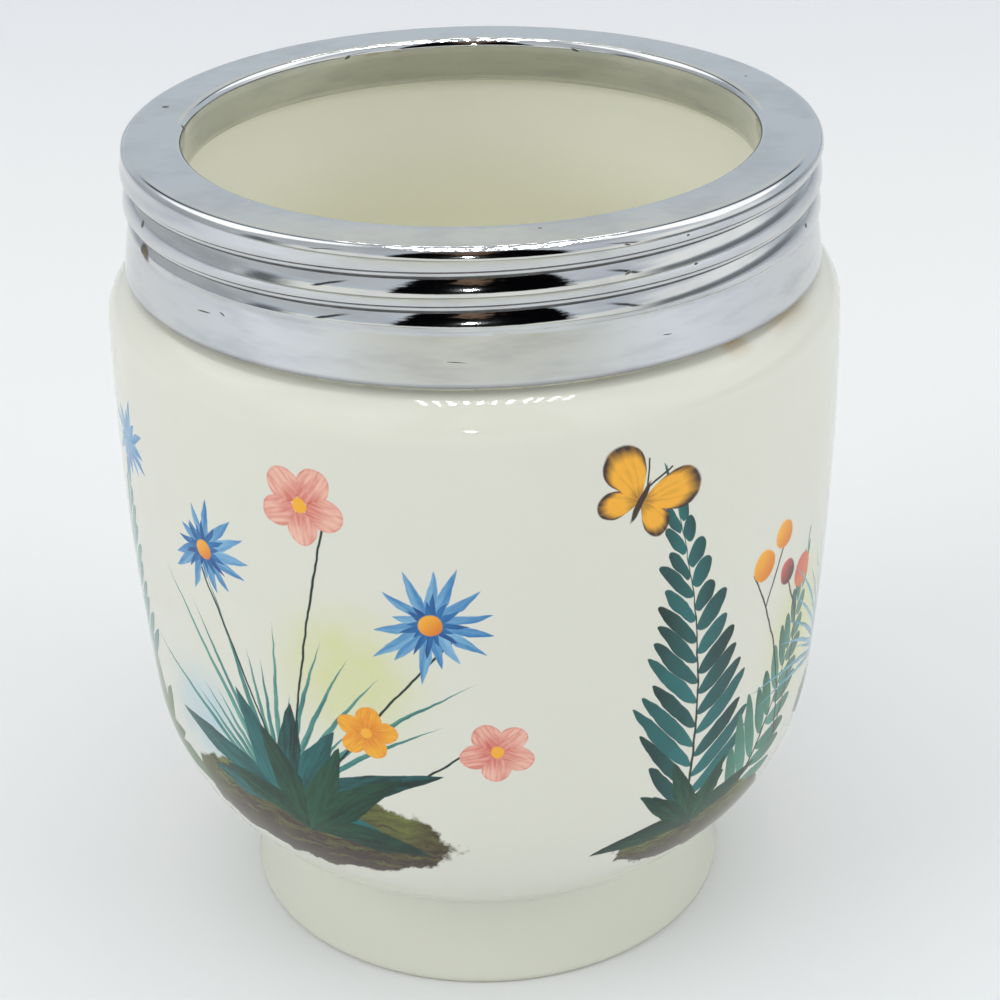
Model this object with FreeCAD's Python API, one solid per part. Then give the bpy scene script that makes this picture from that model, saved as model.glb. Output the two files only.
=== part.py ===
import FreeCAD, Part
import math
import os

# Egg coddler cup: a bellied porcelain cup on a foot ring, with a threaded metal collar
# cemented over its neck. Millimetres. Z is the cup's own axis, pointing up, and Z = 0 is
# the plane that the foot stands on. The front is -Y and +X is to its right.

# Porcelain cup, outside
FOOT_RADIUS = 22.9
FOOT_HEIGHT = 8.6
WAIST_RADIUS = 21.4
BELLY_RADIUS = 31.8
BELLY_HEIGHT = 49.0
SIDE_CURVE_RADIUS = 280.0
LOWER_CURVE_RADIUS = 19.5
SHOULDER_HEIGHT = 62.6
SHOULDER_CURVE_RADIUS = 4.0
NECK_RADIUS = 27.6
NECK_LENGTH = 10.05

# Porcelain cup, inside and underneath
BELLY_WALL = 3.2
NECK_WALL = 2.4
MOUTH_BLEND_LENGTH = 14.0
FOOT_RING_WIDTH = 3.4
FOOT_RECESS_DEPTH = 3.4
FOOT_RECESS_TAPER = 1.6

# Porcelain cup, rounded edges
WAIST_GLAZE_RADIUS = 0.8
FOOT_EDGE_RADIUS = 0.9
RIM_EDGE_RADIUS = 0.6

# Cement bed between neck and collar
CEMENT_SIDE = 0.55
CEMENT_TOP = 0.4
CEMENT_INSIDE = 0.4

# Metal collar
COLLAR_CLEARANCE = 0.3
PLATE_THICKNESS = 0.8
LIP_THICKNESS = 0.6
LIP_LENGTH = 4.0
RIB_THICKNESS = 1.35
BAND_TOP_THICKNESS = 1.05
BAND_FOOT_THICKNESS = 1.7
BAND_HEIGHT = 4.55
COLLAR_OUTER_EDGE_RADIUS = 1.0
COLLAR_INNER_EDGE_RADIUS = 0.7
BAND_FOOT_CHAMFER = 0.15

# Spiral groove of the collar, right-handed
THREAD_PITCH = 2.7
THREAD_TURNS = 2.5
GROOVE_DEPTH = 0.45
GROOVE_WIDTH = 0.95
GROOVE_BOTTOM_WIDTH = 0.25
GROOVE_START_DROP = 0.3

# How far a cutter reaches past the surface that it cuts
CUTTER_REACH = 0.6
FULL_TURN = 360.0
SAME_PLACE = 1e-4


def point(radius, height):
    return FreeCAD.Vector(radius, 0.0, height)


def line(start, end):
    return Part.LineSegment(start, end).toShape()


def arc_about(centre, start, end):
    """The shorter arc from start to end around centre, in the XZ plane."""
    middle = (start - centre) + (end - centre)
    middle.normalize()
    radius = (start - centre).Length
    return Part.Arc(start, centre + middle * radius, end).toShape()


def turned(edges):
    """The solid that a closed outline makes when it turns once about the cup's axis."""
    outline = Part.Wire(edges)
    axis = FreeCAD.Vector(0.0, 0.0, 1.0)
    return Part.Face(outline).revolve(FreeCAD.Vector(), axis, FULL_TURN)


def polygon_edges(corners):
    closed = corners + corners[:1]
    return [line(start, end) for start, end in zip(closed, closed[1:])]


def round_edges(solid, radius, height):
    """The circular edges of a turned solid at one radius and height."""
    found = []
    for edge in solid.Edges:
        if not isinstance(edge.Curve, Part.Circle):
            continue
        same_radius = abs(edge.Curve.Radius - radius) < SAME_PLACE
        same_height = abs(edge.Curve.Center.z - height) < SAME_PLACE
        if same_radius and same_height:
            found.append(edge)
    return found


def touching_centre(outer_centre, outer_radius, inner_radius, height):
    """Centre, at a given height, of a circle that touches a larger one from inside."""
    rise = height - outer_centre.z
    reach = outer_radius - inner_radius
    return point(outer_centre.x + math.sqrt(reach ** 2 - rise ** 2), height)


def touching_centre_through(outer_centre, outer_radius, inner_radius, on_circle):
    """Centre of a circle that touches a larger one from inside and passes a point below."""
    reach = outer_radius - inner_radius
    across = on_circle - outer_centre
    distance = across.Length
    along = (reach ** 2 - inner_radius ** 2 + distance ** 2) / (2.0 * distance)
    aside = math.sqrt(reach ** 2 - along ** 2)
    across.normalize()
    upward = FreeCAD.Vector(-across.z, 0.0, across.x)
    return outer_centre + across * along + upward * aside


def touching_point(outer_centre, outer_radius, inner_centre):
    outward = inner_centre - outer_centre
    outward.normalize()
    return outer_centre + outward * outer_radius


# Heights and radii that follow from the sizes above
RIM_HEIGHT = SHOULDER_HEIGHT + NECK_LENGTH
MOUTH_RADIUS = NECK_RADIUS - NECK_WALL
COLLAR_FOOT = SHOULDER_HEIGHT + COLLAR_CLEARANCE
PLATE_UNDERSIDE = RIM_HEIGHT + CEMENT_TOP
COLLAR_TOP = PLATE_UNDERSIDE + PLATE_THICKNESS
SKIRT_INNER_RADIUS = NECK_RADIUS + CEMENT_SIDE
RIB_RADIUS = SKIRT_INNER_RADIUS + RIB_THICKNESS
BAND_TOP = COLLAR_FOOT + BAND_HEIGHT
LIP_OUTER_RADIUS = MOUTH_RADIUS - CEMENT_INSIDE
LIP_INNER_RADIUS = LIP_OUTER_RADIUS - LIP_THICKNESS
LIP_FOOT = COLLAR_TOP - LIP_LENGTH


def foot_edges(waist):
    """From the middle of the recess under the cup, round the foot ring, up to the waist."""
    ring_inner = FOOT_RADIUS - FOOT_RING_WIDTH
    recess_middle = point(0.0, FOOT_RECESS_DEPTH)
    recess_edge = point(ring_inner - FOOT_RECESS_TAPER, FOOT_RECESS_DEPTH)
    stand_inner = point(ring_inner, 0.0)
    stand_outer = point(FOOT_RADIUS, 0.0)
    flare = FOOT_RADIUS - WAIST_RADIUS
    cove_radius = (flare ** 2 + FOOT_HEIGHT ** 2) / (2.0 * flare)
    cove_centre = point(WAIST_RADIUS + cove_radius, FOOT_HEIGHT)
    return [
        line(recess_middle, recess_edge),
        line(recess_edge, stand_inner),
        line(stand_inner, stand_outer),
        arc_about(cove_centre, stand_outer, waist),
    ]


def mouth_blend(belly_inside, mouth_foot):
    """Two equal arcs that lead the inside of the belly into the narrower neck."""
    step = belly_inside.x - mouth_foot.x
    rise = mouth_foot.z - belly_inside.z
    radius = (step ** 2 + rise ** 2) / (4.0 * step)
    halfway = (belly_inside + mouth_foot) * 0.5
    lower_centre = point(belly_inside.x - radius, belly_inside.z)
    upper_centre = point(mouth_foot.x + radius, mouth_foot.z)
    return [
        arc_about(upper_centre, mouth_foot, halfway),
        arc_about(lower_centre, halfway, belly_inside),
    ]


def porcelain_cup():
    waist = point(WAIST_RADIUS, FOOT_HEIGHT)
    side_centre = point(BELLY_RADIUS - SIDE_CURVE_RADIUS, BELLY_HEIGHT)
    lower_centre = touching_centre_through(side_centre, SIDE_CURVE_RADIUS, LOWER_CURVE_RADIUS, waist)
    shoulder_centre = touching_centre(
        side_centre, SIDE_CURVE_RADIUS, SHOULDER_CURVE_RADIUS, SHOULDER_HEIGHT - SHOULDER_CURVE_RADIUS
    )
    side_low = touching_point(side_centre, SIDE_CURVE_RADIUS, lower_centre)
    side_high = touching_point(side_centre, SIDE_CURVE_RADIUS, shoulder_centre)
    shoulder_top = point(shoulder_centre.x, SHOULDER_HEIGHT)
    neck_root = point(NECK_RADIUS, SHOULDER_HEIGHT)
    rim_outer = point(NECK_RADIUS, RIM_HEIGHT)
    rim_inner = point(MOUTH_RADIUS, RIM_HEIGHT)
    mouth_foot = point(MOUTH_RADIUS, BELLY_HEIGHT + MOUTH_BLEND_LENGTH)
    belly_inside = point(BELLY_RADIUS - BELLY_WALL, BELLY_HEIGHT)
    inside_low = touching_point(side_centre, SIDE_CURVE_RADIUS - BELLY_WALL, lower_centre)
    floor_edge = lower_centre - FreeCAD.Vector(0.0, 0.0, LOWER_CURVE_RADIUS - BELLY_WALL)
    floor_middle = point(0.0, floor_edge.z)

    outside = foot_edges(waist) + [
        arc_about(lower_centre, waist, side_low),
        arc_about(side_centre, side_low, side_high),
        arc_about(shoulder_centre, side_high, shoulder_top),
        line(shoulder_top, neck_root),
        line(neck_root, rim_outer),
        line(rim_outer, rim_inner),
    ]
    inside = [line(rim_inner, mouth_foot)] + mouth_blend(belly_inside, mouth_foot) + [
        arc_about(side_centre, belly_inside, inside_low),
        arc_about(lower_centre, inside_low, floor_edge),
        line(floor_edge, floor_middle),
        line(floor_middle, point(0.0, FOOT_RECESS_DEPTH)),
    ]
    cup = turned(outside + inside)

    cup = cup.makeFillet(WAIST_GLAZE_RADIUS, round_edges(cup, WAIST_RADIUS, FOOT_HEIGHT))
    foot_rims = round_edges(cup, FOOT_RADIUS, 0.0) + round_edges(cup, FOOT_RADIUS - FOOT_RING_WIDTH, 0.0)
    cup = cup.makeFillet(FOOT_EDGE_RADIUS, foot_rims)
    rims = round_edges(cup, NECK_RADIUS, RIM_HEIGHT) + round_edges(cup, MOUTH_RADIUS, RIM_HEIGHT)
    return cup.makeFillet(RIM_EDGE_RADIUS, rims)


def spiral_cutter():
    """The rounded V that cuts the thread groove, swept up a right-handed helix."""
    start_height = BAND_TOP - GROOVE_START_DROP
    helix = Part.makeLongHelix(THREAD_PITCH, THREAD_PITCH * THREAD_TURNS, RIB_RADIUS)
    helix.translate(FreeCAD.Vector(0.0, 0.0, start_height))
    flare = (GROOVE_WIDTH - GROOVE_BOTTOM_WIDTH) / GROOVE_DEPTH
    open_width = GROOVE_BOTTOM_WIDTH + flare * (GROOVE_DEPTH + CUTTER_REACH)
    outer = RIB_RADIUS + CUTTER_REACH
    bottom = RIB_RADIUS - GROOVE_DEPTH
    corners = [
        point(outer, start_height + open_width / 2.0),
        point(bottom, start_height + GROOVE_BOTTOM_WIDTH / 2.0),
        point(bottom, start_height - GROOVE_BOTTOM_WIDTH / 2.0),
        point(outer, start_height - open_width / 2.0),
    ]
    section = Part.Wire(polygon_edges(corners))
    sweep = Part.BRepOffsetAPI.MakePipeShell(Part.Wire(helix.Edges))
    sweep.setFrenetMode(True)
    sweep.add(section)
    sweep.build()
    sweep.makeSolid()
    return sweep.shape()


def threaded_collar():
    corners = [
        point(SKIRT_INNER_RADIUS, COLLAR_FOOT),
        point(SKIRT_INNER_RADIUS + BAND_FOOT_THICKNESS - BAND_FOOT_CHAMFER, COLLAR_FOOT),
        point(SKIRT_INNER_RADIUS + BAND_FOOT_THICKNESS, COLLAR_FOOT + BAND_FOOT_CHAMFER),
        point(SKIRT_INNER_RADIUS + BAND_TOP_THICKNESS, BAND_TOP),
        point(RIB_RADIUS, BAND_TOP + (RIB_THICKNESS - BAND_TOP_THICKNESS)),
        point(RIB_RADIUS, COLLAR_TOP),
        point(LIP_INNER_RADIUS, COLLAR_TOP),
        point(LIP_INNER_RADIUS, LIP_FOOT),
        point(LIP_OUTER_RADIUS, LIP_FOOT),
        point(LIP_OUTER_RADIUS, PLATE_UNDERSIDE),
        point(SKIRT_INNER_RADIUS, PLATE_UNDERSIDE),
    ]
    blank = turned(polygon_edges(corners))
    blank = blank.makeFillet(COLLAR_OUTER_EDGE_RADIUS, round_edges(blank, RIB_RADIUS, COLLAR_TOP))
    blank = blank.makeFillet(COLLAR_INNER_EDGE_RADIUS, round_edges(blank, LIP_INNER_RADIUS, COLLAR_TOP))
    return blank.cut(spiral_cutter())


def collar_cement(cup):
    """A turned channel that fills the room between the neck and the collar, rim included."""
    corners = [
        point(NECK_RADIUS - RIM_EDGE_RADIUS, COLLAR_FOOT),
        point(SKIRT_INNER_RADIUS, COLLAR_FOOT),
        point(SKIRT_INNER_RADIUS, PLATE_UNDERSIDE),
        point(LIP_OUTER_RADIUS, PLATE_UNDERSIDE),
        point(LIP_OUTER_RADIUS, LIP_FOOT),
        point(MOUTH_RADIUS + RIM_EDGE_RADIUS, LIP_FOOT),
        point(MOUTH_RADIUS + RIM_EDGE_RADIUS, RIM_HEIGHT - RIM_EDGE_RADIUS),
        point(NECK_RADIUS - RIM_EDGE_RADIUS, RIM_HEIGHT - RIM_EDGE_RADIUS),
    ]
    return turned(polygon_edges(corners)).cut(cup)


def main():
    os.makedirs("parts", exist_ok=True)
    cup = porcelain_cup()
    nodes = {
        "porcelain_cup": cup,
        "threaded_collar": threaded_collar(),
        "collar_cement": collar_cement(cup),
    }
    for name, shape in nodes.items():
        shape.exportStep("parts/" + name + ".step")
        print(name, "valid", shape.isValid(), "solids", len(shape.Solids), "volume", round(shape.Volume, 1))


if __name__ == "__main__":
    main()
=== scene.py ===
"""Egg coddler cup: a printed porcelain cup with a chromed screw collar on its neck.

Metres. Z is the cup's axis, the foot stands on Z = 0 and the front is -Y.
"""

import math
import random
from functools import partialmethod, reduce

import bmesh
import bpy
from bpy.props import FloatProperty, FloatVectorProperty, IntProperty, PointerProperty
from mathutils import Matrix, Vector, noise


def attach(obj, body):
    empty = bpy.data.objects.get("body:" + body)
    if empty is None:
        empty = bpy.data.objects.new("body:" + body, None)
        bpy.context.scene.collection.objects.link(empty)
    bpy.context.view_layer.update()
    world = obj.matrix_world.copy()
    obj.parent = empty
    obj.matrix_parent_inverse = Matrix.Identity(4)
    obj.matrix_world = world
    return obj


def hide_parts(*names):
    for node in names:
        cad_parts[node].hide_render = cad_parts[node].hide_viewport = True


bl_info = {
    "name": "Egg Coddler Cup",
    "version": (1, 0, 0),
    "blender": (4, 5, 0),
    "location": "View3D > Sidebar > Egg Coddler",
    "description": "Dresses the frame of an egg coddler cup with glazed porcelain and chrome",
    "category": "Add Mesh",
}

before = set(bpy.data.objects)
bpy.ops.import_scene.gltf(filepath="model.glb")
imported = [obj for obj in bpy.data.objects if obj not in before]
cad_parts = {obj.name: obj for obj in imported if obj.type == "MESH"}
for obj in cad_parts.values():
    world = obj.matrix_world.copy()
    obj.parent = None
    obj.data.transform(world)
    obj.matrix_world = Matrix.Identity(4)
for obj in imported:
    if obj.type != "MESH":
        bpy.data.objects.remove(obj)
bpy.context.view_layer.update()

MM = 0.001
BODY = "root"
ORIGIN = (0.0, 0.0, 0.0)
UP = Vector((0.0, 0.0, 1.0))
QUARTER_TURN = math.pi / 2.0
FULL_TURN = 2.0 * math.pi
WELD = 1e-7


def length(name, description, millimetres):
    """A length property; its default is given in millimetres."""
    return FloatProperty(
        name=name, description=description, default=millimetres * MM, unit="LENGTH", precision=5
    )


def tint(name, description, red, green, blue):
    """A colour property; its default is given as 0 to 255 screen values."""
    colour = paint(red, green, blue)
    return FloatVectorProperty(
        name=name, description=description, default=colour, subtype="COLOR", size=4, min=0.0, max=1.0
    )


def paint(red, green, blue):
    """Linear colour, with alpha, of a 0 to 255 screen colour."""
    linear = []
    for value in (red, green, blue):
        share = value / 255.0
        linear.append(share / 12.92 if share <= 0.04045 else ((share + 0.055) / 1.055) ** 2.4)
    return (*linear, 1.0)


class CupSizes(bpy.types.PropertyGroup):
    """Sizes of the porcelain cup."""

    foot_radius: length("Foot radius", "Outer radius of the foot ring", 22.9)
    foot_height: length("Foot height", "Height of the crease above the foot", 8.6)
    waist_radius: length("Waist radius", "Radius at the crease above the foot", 21.4)
    belly_radius: length("Belly radius", "Largest radius of the cup", 31.8)
    belly_height: length("Belly height", "Height of the largest radius", 49.0)
    side_curve: length("Side curve", "Radius of the long curve up the side", 280.0)
    lower_curve: length("Lower curve", "Radius of the curve that tucks in to the foot", 19.5)
    shoulder_height: length("Shoulder height", "Height of the ledge under the collar", 62.6)
    shoulder_curve: length("Shoulder curve", "Radius of the rounded shoulder", 4.0)
    neck_radius: length("Neck radius", "Radius of the neck inside the collar", 27.6)
    rim_height: length("Rim height", "Height of the porcelain rim", 72.65)
    wall: length("Wall", "Thickness of the belly wall", 3.2)
    neck_wall: length("Neck wall", "Thickness of the neck wall", 2.4)
    mouth_blend: length("Mouth blend", "Length over which the belly narrows to the neck", 14.0)
    ring_width: length("Ring width", "Width of the foot ring where it stands", 3.4)
    recess_depth: length("Recess depth", "Depth of the recess under the foot", 3.4)
    recess_taper: length("Recess taper", "How far the recess wall leans in", 1.6)
    segments: IntProperty(name="Segments", description="Faces round the cup", default=240, min=24)


class CollarSizes(bpy.types.PropertyGroup):
    """Sizes of the chromed collar."""

    top_height: length("Top height", "Height of the collar's flat top", 73.85)
    foot_height: length("Foot height", "Height of the band's lower edge", 62.9)
    band_height: length("Band height", "Height of the plain band under the thread", 4.55)
    rib_radius: length("Rib radius", "Radius over the crests of the thread", 29.5)
    band_top_radius: length("Band top radius", "Radius of the band under the thread", 29.2)
    band_foot_radius: length("Band foot radius", "Radius of the band's lower edge", 29.85)
    skirt_radius: length("Skirt radius", "Inner radius of the skirt round the neck", 28.15)
    lip_outer: length("Lip outer radius", "Outer radius of the turned-down lip", 24.8)
    lip_inner: length("Lip inner radius", "Inner radius of the turned-down lip", 24.2)
    lip_length: length("Lip length", "How far the lip reaches down into the mouth", 4.0)
    plate: length("Plate", "Thickness of the flat top", 0.8)
    outer_edge: length("Outer edge", "Rounding of the top's outer edge", 1.0)
    inner_edge: length("Inner edge", "Rounding of the top's inner edge", 0.7)
    pitch: length("Pitch", "Rise of the thread in one turn", 2.7)
    groove_depth: length("Groove depth", "Depth of the land between the ribs", 0.28)
    start_drop: length("Start drop", "How far below the thread the groove starts", 0.3)
    segments: IntProperty(name="Segments", description="Faces round the collar", default=288, min=24)


class FinishColours(bpy.types.PropertyGroup):
    """Colours of the porcelain, chrome and cement."""

    glaze: tint("Glaze", "Porcelain under its clear glaze", 224, 224, 211)
    glaze_pool: tint("Glaze pool", "Porcelain where the glaze lies thick", 211, 213, 198)
    speck: tint("Speck", "Iron specks in the glaze", 120, 108, 88)
    bisque: tint("Bisque", "Unglazed foot ring", 222, 214, 196)
    bisque_dark: tint("Dark bisque", "Grain of the unglazed foot ring", 190, 178, 154)
    chrome: tint("Chrome", "Plated metal", 212, 214, 214)
    chrome_dull: tint("Dull chrome", "Plated metal under smudges", 198, 200, 202)
    # Painted shade in the thread's creases and the collar's corners, and real grime in the pits
    grime_and_shade: tint("Grime", "Dark dirt in grooves and pits", 70, 66, 62)
    worn: tint("Worn", "Bare metal and rust in pits", 138, 122, 88)
    cement: tint("Cement", "Clean cement", 224, 222, 206)
    cement_stain: tint("Cement stain", "Yellowed cement", 186, 158, 100)
    cement_dark: tint("Dark cement", "Dark grains in the cement", 120, 96, 60)
    floor: tint("Floor", "Pale floor", 241, 242, 241)


class StageSettings(bpy.types.PropertyGroup):
    """Camera and floor."""

    camera_y: length("Camera Y", "Camera's place in front of the cup", -178.42)
    camera_z: length("Camera height", "Camera's height above the floor", 132.44)
    camera_turn: FloatVectorProperty(
        name="Camera turn",
        description="Camera's turn about X, Y and Z",
        default=tuple(math.radians(a) for a in (62.0261, 0.9857, -1.1145)),
        subtype="EULER",
        size=3,
    )
    lens: FloatProperty(name="Lens", description="Camera's focal length", default=79.2, unit="CAMERA")
    floor_radius: length("Floor radius", "Radius of the round floor", 3000.0)


# Meshes -------------------------------------------------------------------------------


def polar(radius, degrees):
    """A step in the XZ plane, at an angle from +X towards +Z."""
    angle = math.radians(degrees)
    return Vector((radius * math.cos(angle), 0.0, radius * math.sin(angle)))


def bearing(step):
    """The angle of a step in the XZ plane, in degrees from +X towards +Z."""
    return math.degrees(math.atan2(step.z, step.x))


def point(radius, height):
    """A point in the XZ plane."""
    return Vector((radius, 0.0, height))


def turn_round(mesh, segments):
    """Turns all of an outline once about Z into a closed skin."""
    bmesh.ops.spin(
        mesh, geom=mesh.verts[:] + mesh.edges[:], cent=ORIGIN, axis=UP, angle=FULL_TURN,
        steps=segments, use_merge=True,
    )


class Outline:
    """A chain of vertices in the XZ plane, drawn one line or arc after another."""

    def __init__(self, mesh, radius, height):
        self.mesh = mesh
        self.tip = mesh.verts.new(point(radius, height))
        self.corners = []

    def line(self, radius, height, steps=1, rounding=None):
        """Goes straight to a point, which may be rounded off later."""
        stride = (point(radius, height) - self.tip.co) / steps
        for _ in range(steps):
            made = bmesh.ops.extrude_vert_indiv(self.mesh, verts=[self.tip])
            self.tip = made["verts"][0]
            self.tip.co += stride
        if rounding:
            self.corners.append((self.tip, rounding))

    def arc(self, centre, degrees, steps, rounding=None):
        """Turns about a centre, from +X towards +Z if the angle is positive."""
        made = bmesh.ops.spin(
            self.mesh, geom=[self.tip], cent=centre, axis=(0.0, -1.0, 0.0), angle=math.radians(degrees),
            steps=steps, use_duplicate=False,
        )
        self.tip = [v for v in made["geom_last"] if isinstance(v, bmesh.types.BMVert)][0]
        if rounding:
            self.corners.append((self.tip, rounding))

    def round_corners(self):
        for corner, offset in self.corners:
            bmesh.ops.bevel(
                self.mesh, geom=[corner], offset=offset, offset_type="OFFSET", segments=6,
                profile=0.5, affect="VERTICES", material=-1,
            )


def add_object(mesh, name, materials):
    data = bpy.data.meshes.new(name)
    mesh.to_mesh(data)
    mesh.free()
    for material in materials:
        data.materials.append(material)
    added = bpy.data.objects.new(name, data)
    bpy.context.scene.collection.objects.link(added)
    return added


def finish_piece(mesh, name, materials, sharp_degrees=None):
    """Makes a mesh into an object of the part that rides with the part's one body."""
    bmesh.ops.remove_doubles(mesh, verts=mesh.verts[:], dist=WELD)
    bmesh.ops.recalc_face_normals(mesh, faces=mesh.faces[:])
    for face in mesh.faces:
        face.smooth = True
    if sharp_degrees:
        for edge in mesh.edges:
            edge.smooth = edge.calc_face_angle(0.0) < math.radians(sharp_degrees)
    piece = add_object(mesh, name, materials)
    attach(piece, BODY)
    return piece


def touching_centre(side, lower_radius, waist, reach):
    """Centre of the lower curve, which touches the side curve and passes the waist."""
    across = waist - side
    distance = across.length
    along = (reach ** 2 - lower_radius ** 2 + distance ** 2) / (2.0 * distance)
    aside = math.sqrt(reach ** 2 - along ** 2)
    across.normalize()
    return side + across * along + Vector((-across.z, 0.0, across.x)) * aside


# Rounding of the cup's corners: the recess under the foot, the ring's inner and outer edge,
# the crease above the foot, the ledge under the collar and the rim
RECESS_ROUND = 0.8 * MM
RING_ROUND = 0.7 * MM
FOOT_ROUND = 0.9 * MM
WAIST_ROUND = 0.55 * MM
LEDGE_ROUND = 0.4 * MM
RIM_ROUND = 0.6 * MM


def cup_skin(cup):
    """The cup's closed skin, turned from its outline."""
    side = point(cup.belly_radius - cup.side_curve, cup.belly_height)
    waist = point(cup.waist_radius, cup.foot_height)
    lower = touching_centre(side, cup.lower_curve, waist, cup.side_curve - cup.lower_curve)
    shoulder_z = cup.shoulder_height - cup.shoulder_curve
    shoulder_reach = cup.side_curve - cup.shoulder_curve
    shoulder_rise = shoulder_z - side.z
    shoulder_x = side.x + math.sqrt(shoulder_reach ** 2 - shoulder_rise ** 2)
    shoulder = point(shoulder_x, shoulder_z)
    low_angle = bearing(lower - side)
    high_angle = bearing(shoulder - side)
    waist_angle = bearing(waist - lower)

    ring_inner = cup.foot_radius - cup.ring_width
    flare = cup.foot_radius - cup.waist_radius
    cove_radius = (flare ** 2 + cup.foot_height ** 2) / (2.0 * flare)
    cove = point(cup.waist_radius + cove_radius, cup.foot_height)
    cove_angle = bearing(point(cup.foot_radius, 0.0) - cove) + 360.0

    mesh = bmesh.new()
    outline = Outline(mesh, 0.0, cup.recess_depth)
    outline.line(ring_inner - cup.recess_taper, cup.recess_depth, 4, rounding=RECESS_ROUND)
    outline.line(ring_inner, 0.0, 1, rounding=RING_ROUND)
    outline.line(cup.foot_radius, 0.0, 1, rounding=FOOT_ROUND)
    outline.arc(cove, 180.0 - cove_angle, 8, rounding=WAIST_ROUND)
    outline.arc(lower, low_angle - waist_angle, 26)
    outline.arc(side, high_angle - low_angle, 40)
    outline.arc(shoulder, 90.0 - high_angle, 12)
    outline.line(cup.neck_radius, cup.shoulder_height, 3, rounding=LEDGE_ROUND)
    outline.line(cup.neck_radius, cup.rim_height, 2, rounding=RIM_ROUND)
    mouth_radius = cup.neck_radius - cup.neck_wall
    outline.line(mouth_radius, cup.rim_height, 1, rounding=RIM_ROUND)
    mouth_foot = cup.belly_height + cup.mouth_blend
    outline.line(mouth_radius, mouth_foot, 4)

    step = cup.belly_radius - cup.wall - mouth_radius
    blend_radius = (step ** 2 + cup.mouth_blend ** 2) / (4.0 * step)
    blend_angle = math.degrees(math.asin(cup.mouth_blend / 2.0 / blend_radius))
    upper_blend = point(mouth_radius + blend_radius, mouth_foot)
    lower_blend = point(mouth_radius + step - blend_radius, cup.belly_height)
    outline.arc(upper_blend, blend_angle, 12)
    outline.arc(lower_blend, -blend_angle, 12)
    outline.arc(side, low_angle, 26)
    outline.arc(lower, -90.0 - low_angle, 30)
    outline.line(0.0, outline.tip.co.z, 4)
    outline.round_corners()
    turn_round(mesh, cup.segments)
    return mesh


# Shader helpers -----------------------------------------------------------------------


class Flow:
    """A value that flows between the nodes of one tree, with plain arithmetic."""

    def __init__(self, socket):
        self.socket = socket
        self.tree = socket.id_data

    def calc(self, operation, *others, clamp=False):
        node = add_node(self.tree, "ShaderNodeMath", {"operation": operation, "use_clamp": clamp})
        for slot, value in zip(node.inputs, (self, *others)):
            plug(value, slot)
        return Flow(node.outputs[0])

    __add__ = partialmethod(calc, "ADD")
    __sub__ = partialmethod(calc, "SUBTRACT")
    __mul__ = partialmethod(calc, "MULTIPLY")
    __truediv__ = partialmethod(calc, "DIVIDE")
    __pow__ = partialmethod(calc, "POWER")
    least = partialmethod(calc, "MINIMUM")
    most = partialmethod(calc, "MAXIMUM")
    size = partialmethod(calc, "ABSOLUTE")
    below = partialmethod(calc, "LESS_THAN")
    clamped = partialmethod(calc, "ADD", 0.0, clamp=True)

    def flipped(self):
        """One minus the value."""
        return self * -1.0 + 1.0

    def ramp(self, start, end):
        """0 at start and 1 at end, eased in between."""
        node = add_node(self.tree, "ShaderNodeMapRange", {"interpolation_type": "SMOOTHSTEP"})
        for slot, value in zip(node.inputs, (self, start, end)):
            plug(value, slot)
        return Flow(node.outputs[0])


def plug(value, slot):
    """Links a flow to a socket, or writes a plain value on it."""
    if isinstance(value, Flow):
        value.tree.links.new(value.socket, slot)
    else:
        slot.default_value = value


def fill(node, **inputs):
    """Fills a node's inputs by name, with _ for each space."""
    for name, value in inputs.items():
        plug(value, node.inputs[name.replace("_", " ")])
    return node


def add_node(tree, kind, settings=(), **inputs):
    """Adds a node, sets its settings and fills its inputs by name."""
    node = tree.nodes.new(kind)
    for name, value in dict(settings).items():
        setattr(node, name, value)
    return fill(node, **inputs)


def out(node, name):
    return Flow(node.outputs[name])


def split(place):
    """X, Y and Z of a place."""
    return [Flow(s) for s in add_node(place.tree, "ShaderNodeSeparateXYZ", Vector=place).outputs]


def vector(x, y, z=0.0):
    return out(add_node(x.tree, "ShaderNodeCombineXYZ", X=x, Y=y, Z=z), "Vector")


def mapped(place, kind, **inputs):
    node = add_node(place.tree, "ShaderNodeMapping", {"vector_type": kind}, Vector=place, **inputs)
    return out(node, "Vector")


def blend(share, low, high):
    """Mixes two colours; each is a flow or a plain colour."""
    node = add_node(share.tree, "ShaderNodeMix", {"data_type": "RGBA"})
    for index, value in ((0, share), (6, low), (7, high)):
        plug(value, node.inputs[index])
    return Flow(node.outputs[2])


def noise_at(place, scale, detail=2.0, roughness=0.5, result="Fac"):
    node = add_node(
        place.tree, "ShaderNodeTexNoise", Vector=place, Scale=scale, Detail=detail, Roughness=roughness
    )
    return out(node, result)


def scattered_dots(place, scale, dot, patch_scale, patch):
    """Small dots, kept only in patches; dot and patch are the ramps of each."""
    cells = add_node(place.tree, "ShaderNodeTexVoronoi", Vector=place, Scale=scale)
    return out(cells, "Distance").ramp(*dot) * noise_at(place, patch_scale, 1.0).ramp(*patch)


def right_turn(x, y):
    """Angle about the cup's axis, from the front to the right."""
    return x.calc("ARCTAN2", y * -1.0)


def hypotenuse(across, along):
    return (across ** 2.0 + along ** 2.0) ** 0.5


def overlap(*ramps):
    """Product of ramps, each given as a flow with its start and end."""
    return reduce(Flow.__mul__, [flow.ramp(start, end) for flow, start, end in ramps])


def blank_tree(owner):
    """The empty node tree of a material or world."""
    owner.use_nodes = True
    owner.node_tree.nodes.clear()
    return owner.node_tree


def new_material(name):
    """A material, its surface shader and the place on the piece."""
    material = bpy.data.materials.new(name)
    tree = blank_tree(material)
    surface = tree.nodes.new("ShaderNodeBsdfPrincipled")
    output = tree.nodes.new("ShaderNodeOutputMaterial")
    tree.links.new(surface.outputs[0], output.inputs[0])
    return material, surface, out(tree.nodes.new("ShaderNodeTexCoord"), "Object")


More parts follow.
